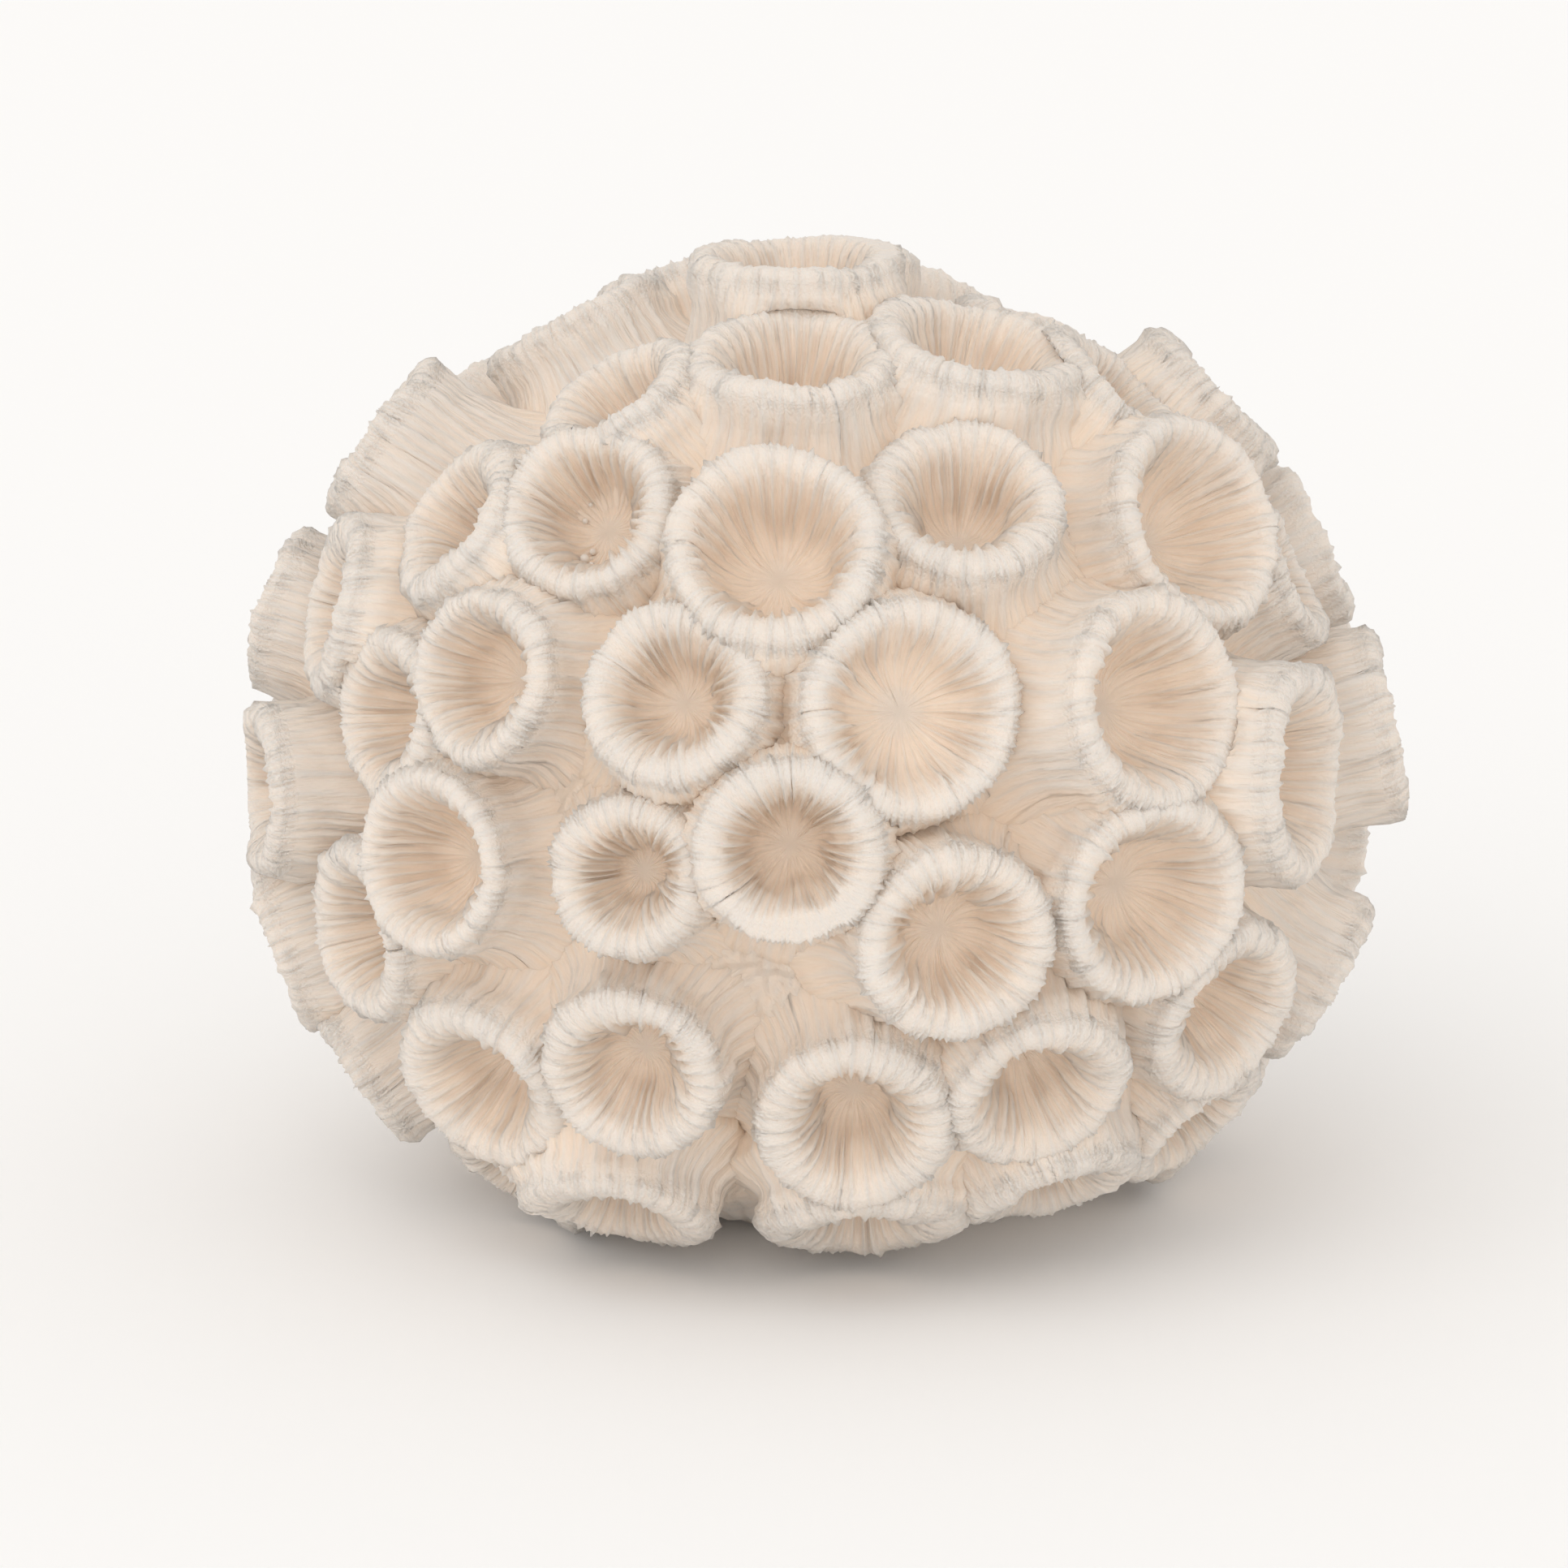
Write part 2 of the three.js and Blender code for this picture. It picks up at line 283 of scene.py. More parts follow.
# Smooth noise, and where it goes. A row holds a height, a wavelength and a seed.
WAVE_COUNT = 9
WAVE_SPREAD = (0.7, 1.4)  # least and most frequency, as shares of the named wavelength's
WAVE_SCALE = 1.6  # keeps the sum of the waves mostly from -1 to 1
TUBE_SWELLS = ((0.25, 7.0, 11), (0.07, 2.6, 12))
BODY_SWELLS = ((0.5, 9.0, 31), (0.2, 3.0, 32))
WARM_PATCHES = ((0.06, 14.0, 21),)
TUBE_SEED = 100  # each tube adds its own number

# Noise for the finest ribs is read at a place that turns with the angle round the tube
FIBRE_RADIUS = 15.0
FIBRE_STRETCH = 0.13  # on the walls, where the finest ribs are long
GRAIN_STRETCH = 0.8  # on the rim, where they break up into grains
GRAIN_END = 6.0  # depth under the crest where the grains have given way to ribs
GRAIN_FADE = 2.0
FIBRE_STEP = 40.0  # between the places of one tube and those of the next

# Beads of resin left in one cup: across, up and radius, seen into the cup
BEAD_CUP = "brow_left"
BEADS = [
    (-1.8, -5.2, 0.75),
    (-0.2, -6.2, 0.45),
    (-3.0, -6.2, 0.4),
    (-3.9, -5.2, 0.35),
    (-1.6, -3.4, 0.5),
    (-3.8, 1.2, 0.45),
    (-3.2, 3.6, 0.35),
]
BEAD_ROWS = 12
BEAD_COLUMNS = 20
BEAD_POLE = 80.0
BEAD_WARMTH = 0.1

# The body's rows and columns lie closer together where they show in front
BODY_FRONT = 100.0  # azimuth
BODY_FRONT_COLUMNS = 222
BODY_BACK_COLUMNS = 56
BODY_TOP = 72.0  # latitudes
BODY_BOTTOM = -60.0
BODY_ROWS = 133
BODY_END_ROWS = 10
BODY_POLE = 88.0
BODY_RIBS = 44  # round each tube
BODY_RIB = 0.6
SEAM = 1.5  # the ribs of two tubes fade out this near to where they would meet
# Painted shade on the body between the tubes: warmer where tubes crowd it and in its rib grooves,
# paler on its ribs
BODY_SHADE = 0.35
BODY_CROWD_SHADE = 0.1
BODY_RIB_SHADE = 0.25

# Meshes stay inside the CAD's box, and no two flat undersides are at the same height
BOX_MARGIN = 0.05
LOWEST_LIFT = 0.06
LIFT_STEP = 0.02

# The resin's pale colour, used on the lit rims and ribs, and a warm painted shade for the recesses,
# which stands in for their shade and for light glowing through the resin there.
RIM_COLOUR = (0.765, 0.714, 0.661, 1.0)
WARM_SHADE_COLOUR = (0.89, 0.742, 0.61, 1.0)
TUBE_ROUGHNESS = 0.5
BODY_ROUGHNESS = 0.6
SPECULAR = 0.35
GLOW = 0.2  # share of the light that passes through
GLOW_RADII = (1.0, 0.8, 0.65)  # red goes furthest
GLOW_SCALE = 0.0015  # metres
PATCH_SCALE = 90.0  # cells of noise to the metre
GRAIN_SCALE = 1600.0
FINE_RIB_SCALE = 2.4  # cells of noise to a unit of the fibre places
NOISE_DETAIL = 1.0
PATCH_WARMTH = 0.3
FINE_RIB_SHADE = -0.2
GRAIN_SHARE = 0.25  # height of the grain against the finest ribs
BUMP_STRENGTH = 0.42
BUMP_DISTANCE = 0.0006  # metres

# The camera stands in front, a little above the head
CAMERA_ELEVATION = math.radians(15.0)
CAMERA_DISTANCE = 1050.0
LENS = 157.0
SENSOR_WIDTH = 36.0
AIM_LEFT = 6.5  # the photo has the head a little right of the middle and a little high
AIM_DOWN = 2.0

# A white studio with two broad soft lights, one up on the left and one beside the camera. A row
# holds a light's name, its strength and where it comes from.
WORLD_LIGHT = 0.88
WORLD_COLOUR = (1.0, 0.98, 0.955, 1.0)
LIGHT_ANGLE = math.radians(60.0)
LIGHTS = [
    ("key", 0.5, (-0.45, -0.65, 0.7)),
    ("fill", 0.55, (0.1, -1.0, 0.05)),
]
FLOOR_SIZE = 30.0  # metres, so that its edge stays out of sight
FLOOR_COLOUR = (0.97, 0.97, 0.97, 1.0)
FLOOR_ROUGHNESS = 0.9

# A closed mesh, with the painted shade and random tone, the fibre place and the strength of the
# finest ribs at each vertex
Part = namedtuple("Part", "vertices quads triangles warmth fibre ribbed")
ATTRIBUTES = [
    ("warmth", "FLOAT", "value"),
    ("fibre", "FLOAT_VECTOR", "vector"),
    ("ribbed", "FLOAT", "value"),
]


def direction(azimuth, latitude):
    """The unit direction that an azimuth and a latitude stand for. Azimuth 0 is the front."""
    aside = math.radians(azimuth)
    above = math.radians(latitude)
    level = math.cos(above)
    return np.array([level * math.sin(aside), -level * math.cos(aside), math.sin(above)])


def direction_grid(azimuth, latitude):
    """The same for a row of azimuths and a column of latitudes."""
    aside = np.radians(azimuth)
    above = np.radians(latitude)
    level = np.cos(above)
    x = level * np.sin(aside)
    y = -level * np.cos(aside)
    z = np.sin(above) + 0.0 * aside
    return np.stack([x, y, z], axis=-1)


def smooth(x):
    """Eases from 0 to 1 as x goes from 0 to 1."""
    x = np.clip(x, 0.0, 1.0)
    return x * x * (3.0 - 2.0 * x)


def bezier(start, first, second, end, t):
    """A point on the curve from start to end that is drawn towards first and second."""
    back = 1.0 - t
    return back**3 * start + 3.0 * back**2 * t * first + 3.0 * back * t**2 * second + t**3 * end


class Tube:
    """One tube's place, direction and sizes, with the middle of the ball as zero."""

    def __init__(self, row, rows, ribs, number):
        name, azimuth, latitude, reach, face_azimuth, face_latitude, width, mouth, depth = row
        self.name = name
        self.rows = rows
        self.ribs = ribs
        self.columns = RIB_COLUMNS * ribs
        self.number = number
        self.rng = np.random.default_rng(TUBE_SEED + number)
        self.outward = direction(azimuth, latitude)
        self.axis = direction(face_azimuth, face_latitude)
        self.rim = self.outward * reach
        seat = LOW_SEAT_REACH if latitude < LOW_SEAT_LATITUDE else SEAT_REACH
        self.length = (reach - seat) / self.axis.dot(self.outward)
        self.radius = width / 2 * VISUAL_WIDTH
        self.mouth = mouth / 2
        self.depth = min(depth, self.length - FLOOR_COVER)
        self.crest = self.radius - (self.radius - self.mouth) * CREST_SHARE
        side = np.cross(self.axis, (0.31, 0.17, 0.93))  # a direction that no axis has
        self.side = side / np.linalg.norm(side)
        self.other_side = np.cross(self.axis, self.side)

    def cup_point(self, t):
        """Radius and height on the cup's wall, from its floor at 0 to the rim's crest at 1."""
        low = self.mouth * LOW_PULL_RADIUS
        high = self.mouth * HIGH_PULL_RADIUS
        radius = bezier(self.mouth * FLOOR_SHARE, low, high, self.crest, t)
        height = bezier(-self.depth, -self.depth * LOW_PULL_DEPTH, -HIGH_PULL_DEPTH, 0.0, t)
        return radius, height

    def wall_radius(self, height):
        """Radius of the outer wall at a height over the crest, which is negative."""
        down = (-height - FLARE_FROM) / (self.length - FLARE_FROM)
        flare = FOOT_FLARE * np.clip(down, 0.0, 1.0) ** 2
        root = np.clip(-height - self.length, 0.0, ROOT)
        return self.radius - WAIST * smooth(down / WAIST_SHARE) + flare - ROOT_TAPER * root

    def across(self, points):
        """Height of points over the crest, their distance from the axis and the way outwards."""
        offset = points - self.rim
        height = offset @ self.axis
        sideways = offset - height[..., None] * self.axis
        distance = np.maximum(np.linalg.norm(sideways, axis=-1), 1e-6)  # never divides by zero
        return height, distance, sideways / distance[..., None]

    def distance(self, points):
        """Roughly how far points are outside this tube's wall."""
        height, distance, _ = self.across(points)
        beside = distance - self.wall_radius(np.minimum(height, -RIM_HEIGHT))
        beyond = np.maximum(height + RIM_HEIGHT, 0.0) + np.maximum(-self.length - ROOT - height, 0.0)
        return np.where(beyond > 0, np.hypot(np.maximum(beside, 0.0), beyond), beside)

    def pushed_out(self, points):
        """Points with those in this tube's open cup moved into its wall or under its floor."""
        height, distance, sideways = self.across(points)
        radii, heights = self.cup_point(np.linspace(0.0, 1.0, CUP_STEPS))
        to_wall = np.interp(height, heights, radii) + CUP_MARGIN - distance
        to_floor = height + self.depth + CUP_MARGIN
        inside = (to_wall > 0.0) & (to_floor > 0.0) & (height < OVER_RIM)
        moved_aside = np.where(inside & (to_wall < to_floor), to_wall, 0.0)
        moved_down = np.where(inside & (to_wall >= to_floor), to_floor, 0.0)
        return points + moved_aside[..., None] * sideways - moved_down[..., None] * self.axis


def list_tubes():
    """Every tube in order, the single ones first. A clump's tubes share its name."""
    tubes = [Tube(row, FRONT_ROWS, MAIN_RIBS, i) for i, row in enumerate(SINGLE_TUBES)]
    for name, rows in CLUMPS.items():
        for azimuth, latitude, reach, width in rows:
            away = (azimuth, latitude)
            row = (name, *away, reach, *away, width, width * CLUMP_MOUTH, CLUMP_DEPTH)
            tubes.append(Tube(row, BACK_ROWS, BACK_MAIN_RIBS, len(tubes)))
    return tubes


def body_radius(latitude):
    """Radius of the body, which is wider below."""
    low = smooth((latitude - LOW_BODY_FROM) / (LOW_BODY_TO - LOW_BODY_FROM))
    return BODY_RADIUS + (LOW_BODY_RADIUS - BODY_RADIUS) * low


def body_distance(points):
    """How far points are outside the body's surface."""
    reach = np.linalg.norm(points, axis=-1)
    latitude = np.degrees(np.arcsin(np.clip(points[..., 2] / reach, -1.0, 1.0)))
    return reach - body_radius(latitude)


def fillet(distance):
    """How far a surface bulges where it comes within BLEND of another one."""
    near = np.clip(BLEND - distance, 0.0, BLEND) / BLEND
    return FILLET_HEIGHT * near**2


def limited(amount):
    """Eases off as several bulges add up to more than a valley can take."""
    return MOST_BULGE * (1.0 - np.exp(-amount / MOST_BULGE))


def waves(points, wavelength, seed):
    """Smooth noise, mostly from -1 to 1, made of sine waves in seeded directions."""
    rng = np.random.default_rng(seed)
    total = np.zeros(points.shape[:-1])
    for _ in range(WAVE_COUNT):
        way = rng.normal(size=3)
        way *= TURN / wavelength / np.linalg.norm(way) * rng.uniform(*WAVE_SPREAD)
        total += np.sin(points @ way + rng.uniform(0.0, TURN))
    return total / math.sqrt(WAVE_COUNT * WAVE_SCALE)


def swells(points, rows):
    """Waves of several heights and lengths, added up."""
    return sum(height * waves(points, wavelength, seed) for height, wavelength, seed in rows)


def floor_profile(tube, count, closed):
    """The cup's floor, a low dome. The rows of every profile hold the same as in profile()."""
    rows = []
    for i in range(1, count + 1):
        t = i / (count + 1)
        radius = tube.mouth * FLOOR_SHARE * t
        height = -tube.depth + FLOOR_DOME * (1.0 - t * t)
        # painted shade: the floor of a deep cup is tinted warm as shaded
        warmth = FLOOR_SHADE + FLOOR_SHADE_GAIN * closed
        rows.append((radius, height, FLOOR_MAIN * t, 0.0, 0.0, warmth))
    return rows


def cup_profile(tube, count, closed):
    """The cup's wall up to the crest. Its ribs shrink and teeth start over the last third."""
    warmest = CUP_SHADE + CUP_SHADE_GAIN * closed
    rows = []
    for i in range(count):
        t = i / count
        high = smooth(t * 3.0 - 2.0)
        left = 1.0 - CUP_RIM_LOSS * high
        main = (CUP_MAIN + CUP_MAIN_GAIN * smooth(t * CUP_MAIN_RISE)) * left
        lesser = CUP_LESSER * t**CUP_LESSER_POWER * left
        # painted shade: warm low in the cup, fading to pale towards the lit crest
        warmth = warmest * (1.0 - CUP_SHADE_LOSS * t**CUP_SHADE_POWER)
        rows.append((*tube.cup_point(t), main, lesser, CUP_TEETH * high, warmth))
    return rows


def rim_profile(tube, count):
    """The outside of the rim, a quarter turn from the crest."""
    rows = []
    for i in range(count + 1):
        turn = math.pi / 2 * i / count
        radius = tube.crest + (tube.radius - tube.crest) * math.sin(turn)
        height = -RIM_HEIGHT * (1.0 - math.cos(turn))
        teeth = RIM_TEETH + RIM_TEETH_GAIN * turn
        warmth = RIM_SHADE + RIM_SHADE_GAIN * turn
        rows.append((radius, height, RIM_MAIN, RIM_LESSER, teeth, warmth))
    return rows


def wall_profile(tube, count):
    """The outer wall down to the end of the root. Its teeth fade over the first third."""
    top = -RIM_HEIGHT
    bottom = -tube.length - ROOT
    rows = []
    for i in range(1, count + 1):
        t = i / count
        height = top + (bottom - top) * t
        radius = float(tube.wall_radius(np.array(height)))
        main = WALL_MAIN - WALL_MAIN_LOSS * t
        lesser = WALL_LESSER - WALL_LESSER_LOSS * t
        teeth = WALL_TEETH * smooth(1.0 - 3.0 * t)
        # painted shade: warmer down the wall, towards the crevices at its foot
        rows.append((radius, height, main, lesser, teeth, WALL_SHADE + WALL_SHADE_GAIN * t))
    return rows


def profile(tube):
    """The tube's outline from the floor outwards, as columns: radius, height, how far its main
    ribs, lesser ribs and teeth stand out, and painted shade."""
    floor_rows, cup_rows, rim_rows, wall_rows = tube.rows
    closed = tube.depth**2 / (tube.mouth**2 + tube.depth**2)  # little light reaches a deep cup
    rows = floor_profile(tube, floor_rows, closed)
    rows += cup_profile(tube, cup_rows, closed)
    rows += rim_profile(tube, rim_rows)
    rows += wall_profile(tube, wall_rows)
    return [np.array(column)[:, None] for column in zip(*rows)]


def lobes(tube, around, size):
    """A slow wobble round the tube, from a few seeded waves."""
    total = np.zeros_like(around)
    for waves_round, share in LOBES:
        phase = tube.rng.uniform(0.0, TURN)
        strength = share * size * tube.rng.uniform(*LOBE_STRENGTH)
        total += strength * np.sin(waves_round * around + phase)
    return total


def evened_random(rng, columns, width):
    """Random numbers round a ring, evened out over a few neighbours."""
    values = np.tile(rng.normal(size=columns), 3)
    even = np.convolve(values, np.ones(width) / math.sqrt(width), "same")
    return even[columns : 2 * columns] * EVENED_SCALE


def rib_heights(tube, along, main_height, lesser_height, tooth_height):
    """How far every vertex is raised by main ribs, lesser ribs and teeth."""
    strength = np.repeat(tube.rng.uniform(*MAIN_STRENGTH, tube.ribs), RIB_COLUMNS)
    strength = np.roll(strength, RIB_SHIFT)
    main = np.tile(MAIN_SHAPE, tube.ribs) * strength
    lesser = np.tile(LESSER_SHAPE, tube.ribs) * tube.rng.uniform(*LESSER_STRENGTH, tube.columns)
    teeth = np.tile(TOOTH_SHAPE, tube.ribs) * tube.rng.uniform(*TOOTH_STRENGTH, tube.columns)
    grains = tube.rng.uniform(*GRAIN_STRENGTH, (len(along), tube.columns))
    ripple = 1.0 + RIPPLE * np.sin(along / RIPPLE_LENGTH + RIPPLE_SHIFT * strength)
    return main_height * main * ripple + lesser_height * lesser + tooth_height * (teeth * grains)


def column_angles(tube, around, along):
    """The angle of every vertex round the tube. Ribs wander a little on their way."""
    drift = evened_random(tube.rng, tube.columns, DRIFT_COLUMNS)
    sway = evened_random(tube.rng, tube.columns, SWAY_COLUMNS)
    return around + DRIFT * drift + SWAY * np.sin(along / SWAY_LENGTH + SWAY_SHIFT * sway)


def blended(tube, tubes, wall, spoke):
    """The outer wall with soft valleys to its neighbours and the body, kept out of every open
    cup, and how closely the neighbours crowd it."""
    near = [other for other in tubes if other is not tube and other.outward @ tube.outward > NEAR]
    crowd = sum(fillet(other.distance(wall)) for other in near)
    bulge = limited(fillet(body_distance(wall)) + crowd)
    ease = smooth(np.arange(1, len(wall) + 1) / BLEND_ROWS)[:, None]
    wall = wall + (bulge * ease)[..., None] * spoke
    for other in near:
        wall = other.pushed_out(wall)
    return wall, crowd


def fibre_places(tube, angle, radius, height, length):
    """Where the noise for the finest ribs is read: drawn out on the walls, even on the rim."""
    on_rim = smooth((radius - tube.mouth) / (tube.crest - tube.mouth))
    on_rim = on_rim * smooth((GRAIN_END + height) / GRAIN_FADE)
    steps = length * (FIBRE_STRETCH + (GRAIN_STRETCH - FIBRE_STRETCH) * on_rim)
    places = np.empty((*angle.shape, 3))
    places[..., 0] = FIBRE_RADIUS * np.cos(angle)
    places[..., 1] = FIBRE_RADIUS * np.sin(angle)
    places[..., 2] = np.cumsum(steps, axis=0) + FIBRE_STEP * tube.number
    return places


def wobbles(tube, around, radius, height):
    """How an uneven outline stretches the tube, and how far its rim rises and falls."""
    outline = 1.0 + lobes(tube, around, OUTLINE_LOBES)
    outline = outline + OUTLINE_ROUGHNESS * evened_random(tube.rng, tube.columns, ROUGH_COLUMNS)
    inner_outline = 1.0 + lobes(tube, around, INNER_LOBES)
    inner = tube.mouth * INNER_SHARE
    edge = smooth((radius - inner) / (tube.radius - inner))
    stretch = inner_outline * (1.0 - edge) + outline * edge
    lift = lobes(tube, around, LIFT_LOBES)
    lift = lift + LIFT_ROUGHNESS * evened_random(tube.rng, tube.columns, ROUGH_COLUMNS)
    return stretch, lift * smooth(1.0 + height / LIFT_DEPTH)


def tube_surface(tube, tubes):
    """Grid of points from the cup's floor to the hidden root, with painted shade and fibre places.
    """
    radius, height, main, lesser, teeth, warmth = profile(tube)
    around = TURN * np.arange(tube.columns) / tube.columns

    step_out = np.gradient(radius, axis=0)
    step_up = np.gradient(height, axis=0)
    length = np.hypot(step_out, step_up)
    normal_out = -step_up / length
    normal_up = step_out / length
    along = np.cumsum(length, axis=0)

    ribs_up = rib_heights(tube, along, main, lesser, teeth)
    angle = column_angles(tube, around, along)
    stretch, lift = wobbles(tube, around, radius, height)
    out = radius * stretch + normal_out * ribs_up
    up = height + lift + normal_up * ribs_up
    spoke = np.cos(angle)[..., None] * tube.side + np.sin(angle)[..., None] * tube.other_side
    points = tube.rim + up[..., None] * tube.axis + out[..., None] * spoke

    wall_rows = tube.rows[-1]
    points[-wall_rows:], crowd = blended(tube, tubes, points[-wall_rows:], spoke[-wall_rows:])
    away = normal_out[..., None] * spoke + normal_up[..., None] * tube.axis
    points += swells(points, TUBE_SWELLS)[..., None] * away

    warm = np.repeat(warmth, tube.columns, axis=1)
    # painted shade: crowded walls and the grooves between ribs are tinted warm as shaded, rib crests
    # pale as lit
    warm[-wall_rows:] += CROWD_SHADE * crowd
    grooves = np.clip(GROOVE_HEIGHT - ribs_up, -MOST_PALE, 1.0)
    warm += GROOVE_SHADE * grooves * smooth(along / GROOVE_FROM)
    warm += swells(points, WARM_PATCHES)
    fibre = fibre_places(tube, angle, radius, height, length)
    return points, np.clip(warm, 0.0, 1.0), fibre


def closed_grid(points, first, last):
    """Vertices and faces of a grid that is closed round its columns and capped at both ends."""
    rows, columns = points.shape[:2]
    vertices = np.concatenate([points.reshape(-1, 3), [first, last]])
    index = np.arange(rows * columns).reshape(rows, columns)
    following = np.roll(index, -1, axis=1)
    quads = np.stack([index[:-1], following[:-1], following[1:], index[1:]], axis=-1).reshape(-1, 4)
    first_fan = np.stack([np.full(columns, rows * columns), following[0], index[0]], axis=-1)
    last_fan = np.stack([np.full(columns, rows * columns + 1), index[-1], following[-1]], axis=-1)
    return vertices, quads, np.concatenate([first_fan, last_fan])


def on_ground(points, lift):
    """Points moved into the scene's frame, with those below the cut pressed flat onto it."""
    placed = points + (0.0, 0.0, MIDDLE_HEIGHT)
    placed[..., 2] = np.maximum(placed[..., 2], lift)
    low = np.array(cad_low) / MM + BOX_MARGIN
    high = np.array(cad_high) / MM - BOX_MARGIN
    low[2] = 0.0
    return np.clip(placed, low, high)


def tube_part(tube, tubes):
    """A tube as a closed mesh."""
    points, warmth, fibre = tube_surface(tube, tubes)
    vertices, quads, triangles = closed_grid(points, points[0].mean(axis=0), points[-1].mean(axis=0))
    warm = np.concatenate([warmth.ravel(), [warmth[0].mean(), 1.0]])
    ends = [fibre[0].mean(axis=0), fibre[-1].mean(axis=0)]
    fibre = np.concatenate([fibre.reshape(-1, 3), ends])
    lift = LOWEST_LIFT + LIFT_STEP * tube.number
    return Part(on_ground(vertices, lift), quads, triangles, warm, fibre, np.ones(len(warm)))


def bead_part(tube, across, up, radius):
    """A small ball that rests in a cup."""
    level = np.cross((0.0, 0.0, 1.0), tube.axis)
    level /= np.linalg.norm(level)
    sideways = across * level + up * np.cross(tube.axis, level)
    radii, heights = tube.cup_point(np.linspace(0.0, 1.0, CUP_STEPS))
    height = np.interp(math.hypot(across, up), radii, heights)
    middle = tube.rim + sideways + (height + radius) * tube.axis
    latitude = np.linspace(BEAD_POLE, -BEAD_POLE, BEAD_ROWS)[:, None]
    azimuth = -360.0 * np.arange(BEAD_COLUMNS)[None, :] / BEAD_COLUMNS
    points = middle + radius * direction_grid(azimuth, latitude)
    pole = np.array([0.0, 0.0, radius])
    vertices, quads, triangles = closed_grid(points, middle + pole, middle - pole)
    warm = np.full(len(vertices), BEAD_WARMTH)
    return Part(on_ground(vertices, 0.0), quads, triangles, warm, vertices, np.zeros(len(vertices)))


def body_ribs(points, tubes):
    """How ribs run down from every tube to half way to the next one: their height from -1 to 1,
    the places for the finest ribs, and how clear both are of the seam, where they end."""
    distances = np.stack([tube.distance(points) for tube in tubes])
    nearest = distances.argmin(axis=0)
    two_nearest = np.partition(distances, 1, axis=0)[:2]
    angle = np.zeros(points.shape[:-1])
    for i, tube in enumerate(tubes):
        mine = nearest == i
        offset = points[mine] - tube.rim
        angle[mine] = np.arctan2(offset @ tube.other_side, offset @ tube.side)
    fibre = np.stack([np.cos(angle), np.sin(angle), np.zeros_like(angle)], axis=-1) * FIBRE_RADIUS
    fibre[..., 2] = two_nearest[0] * FIBRE_STRETCH + FIBRE_STEP * nearest
    clear = smooth((two_nearest[1] - two_nearest[0]) / SEAM)
    return np.cos(BODY_RIBS * angle) * clear, fibre, clear


def body_part(tubes):
    """The body as a ball of rows from pole to pole, swollen softly towards the tubes."""
    front = np.linspace(BODY_FRONT, -BODY_FRONT, BODY_FRONT_COLUMNS)
    back = np.linspace(-BODY_FRONT, BODY_FRONT - 360.0, BODY_BACK_COLUMNS + 2)[1:-1]
    azimuth = np.concatenate([front, back])[None, :]
    top = np.linspace(BODY_POLE, BODY_TOP, BODY_END_ROWS, endpoint=False)
    middle = np.linspace(BODY_TOP, BODY_BOTTOM, BODY_ROWS)
    bottom = np.linspace(-BODY_POLE, BODY_BOTTOM, BODY_END_ROWS, endpoint=False)[::-1]
    latitude = np.concatenate([top, middle, bottom])[:, None]
    outward = direction_grid(azimuth, latitude)
    points = outward * body_radius(latitude)[..., None]

    crowd = np.zeros(points.shape[:-1])
    for tube in tubes:
        crowd += fillet(tube.distance(points))
    ribs, fibre, clear = body_ribs(points, tubes)
    swell = limited(crowd) + BODY_RIB * ribs + swells(points, BODY_SWELLS)
    points += swell[..., None] * outward
    for tube in tubes:
        points = tube.pushed_out(points)

    vertices, quads, triangles = closed_grid(points, points[0].mean(axis=0), points[-1].mean(axis=0))
    # painted shade: warmer where tubes crowd the body and in its rib grooves, paler on its ribs
    warm = BODY_SHADE + BODY_CROWD_SHADE * crowd - BODY_RIB_SHADE * ribs
    warm = np.append(np.clip(warm, 0.0, 1.0), (1.0, 1.0))
    fibre = np.concatenate([fibre.reshape(-1, 3), np.zeros((2, 3))])
    ribbed = np.append(clear, (0.0, 0.0))
    return Part(on_ground(vertices, 0.0), quads, triangles, warm, fibre, ribbed)


def add_mesh(name, parts, material):
    """One mesh object from closed parts."""
    vertices = np.concatenate([part.vertices for part in parts])
    starts = np.cumsum([0] + [len(part.vertices) for part in parts[:-1]])
    quads = np.concatenate([part.quads + start for part, start in zip(parts, starts)])
    triangles = np.concatenate([part.triangles + start for part, start in zip(parts, starts)])

    mesh = bpy.data.meshes.new(name)
    mesh.vertices.add(len(vertices))
    mesh.vertices.foreach_set("co", (vertices * MM).astype(np.float32).ravel())
    corners = np.concatenate([quads.ravel(), triangles.ravel()])
    sizes = np.concatenate([np.full(len(quads), 4), np.full(len(triangles), 3)])
    mesh.loops.add(len(corners))
    mesh.loops.foreach_set("vertex_index", corners.astype(np.int32))
    mesh.polygons.add(len(sizes))
    begins = np.concatenate([[0], np.cumsum(sizes)[:-1]])
    mesh.polygons.foreach_set("loop_start", begins.astype(np.int32))
    mesh.polygons.foreach_set("use_smooth", np.ones(len(sizes), dtype=bool))
    mesh.update(calc_edges=True)
    mesh.validate()
    for attribute, kind, key in ATTRIBUTES:
        values = np.concatenate([getattr(part, attribute) for part in parts])
        layer = mesh.attributes.new(attribute, kind, "POINT")
        layer.data.foreach_set(key, values.astype(np.float32).ravel())
    mesh.materials.append(material)
    piece = bpy.data.objects.new(name, mesh)
    bpy.context.scene.collection.objects.link(piece)
    return piece


def read_attribute(tree, name):
    node = tree.nodes.new("ShaderNodeAttribute")
    node.attribute_name = name
    return node


def add_noise(tree, scale, place):
    """Noise of a scale, which is 0.5 on average, read at a place."""
    noise = tree.nodes.new("ShaderNodeTexNoise")
    noise.inputs["Scale"].default_value = scale
    noise.inputs["Detail"].default_value = NOISE_DETAIL
    tree.links.new(place, noise.inputs["Vector"])
    return noise.outputs["Fac"]


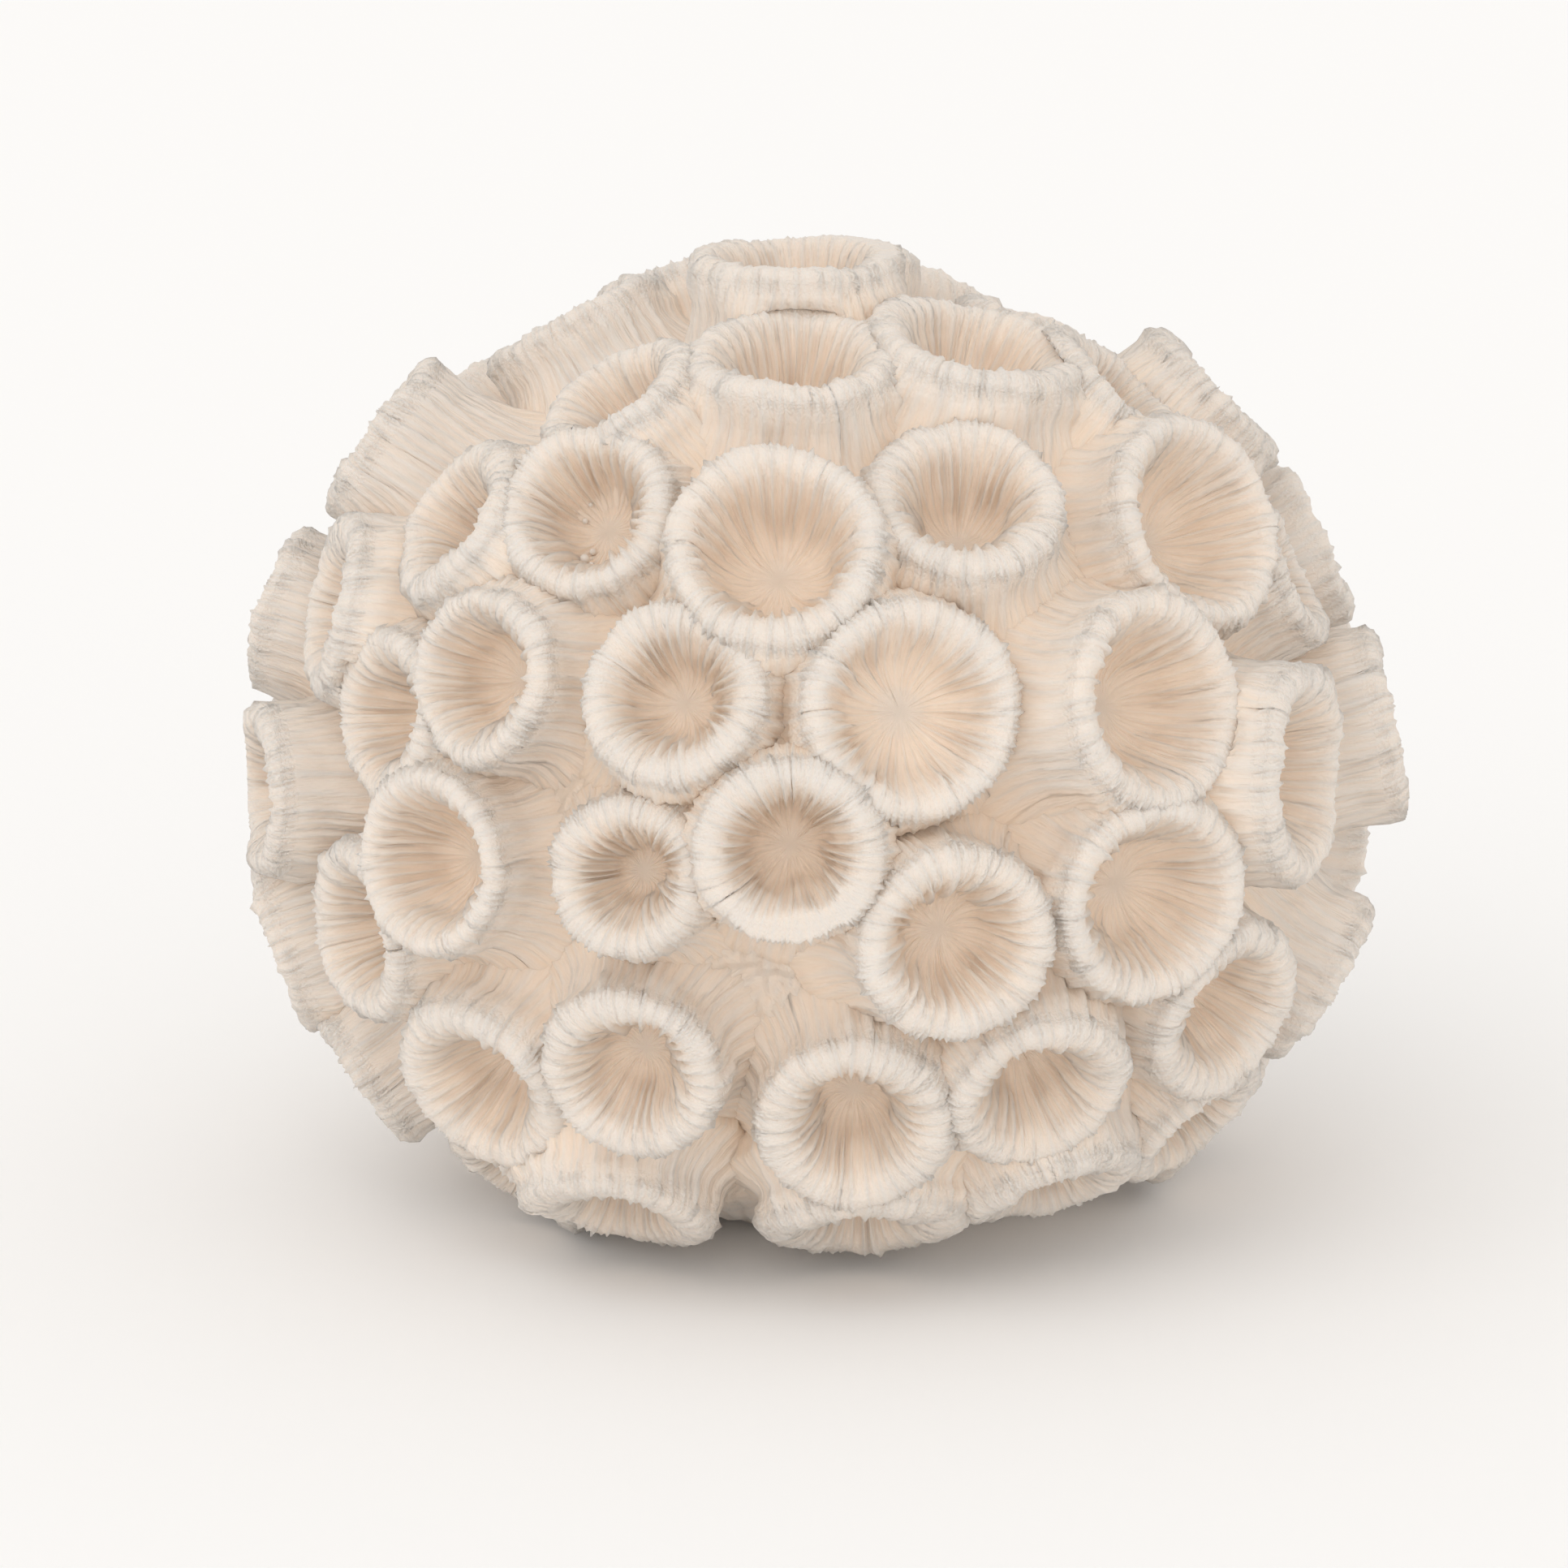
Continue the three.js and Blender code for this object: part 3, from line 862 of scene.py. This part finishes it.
def add_math(tree, operation, *terms):
    """A node that joins terms, each of them a number or another node's output."""
    node = tree.nodes.new("ShaderNodeMath")
    node.operation = operation
    for socket, term in zip(node.inputs, terms):
        if isinstance(term, float):
            socket.default_value = term
        else:
            tree.links.new(term, socket)
    return node.outputs[0]


def coral_material(name, roughness):
    """Waxy cream resin: pale on rims and ribs, with a warm painted shade in the recesses and
    grooves, random warm patches, fine ribs and a grain.
    """
    material = bpy.data.materials.new(name)
    material.use_nodes = True
    tree = material.node_tree
    shader = tree.nodes["Principled BSDF"]
    shader.inputs["Roughness"].default_value = roughness
    shader.inputs["Subsurface Weight"].default_value = GLOW
    shader.inputs["Subsurface Radius"].default_value = GLOW_RADII
    shader.inputs["Subsurface Scale"].default_value = GLOW_SCALE
    shader.inputs["Specular IOR Level"].default_value = SPECULAR

    place = tree.nodes.new("ShaderNodeTexCoord").outputs["Object"]
    warmth = read_attribute(tree, "warmth").outputs["Fac"]
    ribbed = read_attribute(tree, "ribbed").outputs["Fac"]
    patches = add_noise(tree, PATCH_SCALE, place)
    grain = add_noise(tree, GRAIN_SCALE, place)
    fine_ribs = add_noise(tree, FINE_RIB_SCALE, read_attribute(tree, "fibre").outputs["Vector"])

    patched = add_math(tree, "MULTIPLY_ADD", patches, PATCH_WARMTH, warmth)
    # painted shade: the finest ribs are paler where they stand up, as lit, and warmer in their
    # grooves, as shaded
    streaked = add_math(tree, "MULTIPLY_ADD", fine_ribs, FINE_RIB_SHADE, patched)
    colour = tree.nodes.new("ShaderNodeMix")
    colour.data_type = "RGBA"
    colour.clamp_factor = True
    colour.inputs["A"].default_value = RIM_COLOUR
    # painted shade: the mix runs from the pale lit colour to the warm shaded colour
    colour.inputs["B"].default_value = WARM_SHADE_COLOUR
    tree.links.new(streaked, colour.inputs["Factor"])
    tree.links.new(colour.outputs["Result"], shader.inputs["Base Color"])

    raised = add_math(tree, "MULTIPLY", fine_ribs, ribbed)
    bump = tree.nodes.new("ShaderNodeBump")
    bump.inputs["Strength"].default_value = BUMP_STRENGTH
    bump.inputs["Distance"].default_value = BUMP_DISTANCE
    bumps = add_math(tree, "MULTIPLY_ADD", grain, GRAIN_SHARE, raised)
    tree.links.new(bumps, bump.inputs["Height"])
    tree.links.new(bump.outputs["Normal"], shader.inputs["Normal"])
    return material


def add_camera():
    data = bpy.data.cameras.new("camera")
    data.lens = LENS
    data.sensor_width = SENSOR_WIDTH
    data.clip_end = FLOOR_SIZE
    camera = bpy.data.objects.new("camera", data)
    back = Vector((0.0, -math.cos(CAMERA_ELEVATION), math.sin(CAMERA_ELEVATION)))
    up = Vector((0.0, math.sin(CAMERA_ELEVATION), math.cos(CAMERA_ELEVATION)))
    aim = Vector((-AIM_LEFT, 0.0, MIDDLE_HEIGHT)) - up * AIM_DOWN
    camera.location = (aim + back * CAMERA_DISTANCE) * MM
    camera.rotation_euler = back.to_track_quat("Z", "Y").to_euler()
    bpy.context.scene.collection.objects.link(camera)
    bpy.context.scene.camera = camera


def add_lights():
    world = bpy.data.worlds.new("studio")
    world.use_nodes = True
    world.node_tree.nodes["Background"].inputs["Color"].default_value = WORLD_COLOUR
    world.node_tree.nodes["Background"].inputs["Strength"].default_value = WORLD_LIGHT
    bpy.context.scene.world = world
    bpy.context.scene.view_settings.view_transform = "Standard"
    for name, strength, place in LIGHTS:
        data = bpy.data.lights.new(name, "SUN")
        data.energy = strength
        data.angle = LIGHT_ANGLE
        light = bpy.data.objects.new(name, data)
        light.rotation_euler = Vector(place).to_track_quat("Z", "Y").to_euler()
        bpy.context.scene.collection.objects.link(light)


def add_floor():
    bpy.ops.mesh.primitive_plane_add(size=FLOOR_SIZE, location=(0.0, 0.0, 0.0))
    floor = bpy.context.object
    floor.name = "floor"
    material = bpy.data.materials.new("floor_white")
    material.use_nodes = True
    shader = material.node_tree.nodes["Principled BSDF"]
    shader.inputs["Base Color"].default_value = FLOOR_COLOUR
    shader.inputs["Roughness"].default_value = FLOOR_ROUGHNESS
    floor.data.materials.append(material)


def add_head():
    """The body, then one piece for every single tube and every clump."""
    tubes = list_tubes()
    tube_material = coral_material("tube_coral", TUBE_ROUGHNESS)
    body_material = coral_material("body_coral", BODY_ROUGHNESS)
    body = add_mesh("body_coral", [body_part(tubes)], body_material)
    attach(body, "root")
    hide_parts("body")
    for name in dict.fromkeys(tube.name for tube in tubes):
        members = [tube for tube in tubes if tube.name == name]
        parts = [tube_part(tube, tubes) for tube in members]
        if name == BEAD_CUP:
            parts += [bead_part(members[0], *bead) for bead in BEADS]
        piece = add_mesh(name + "_coral", parts, tube_material)
        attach(piece, "root")
        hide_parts(name)


add_camera()
add_lights()
add_floor()
add_head()
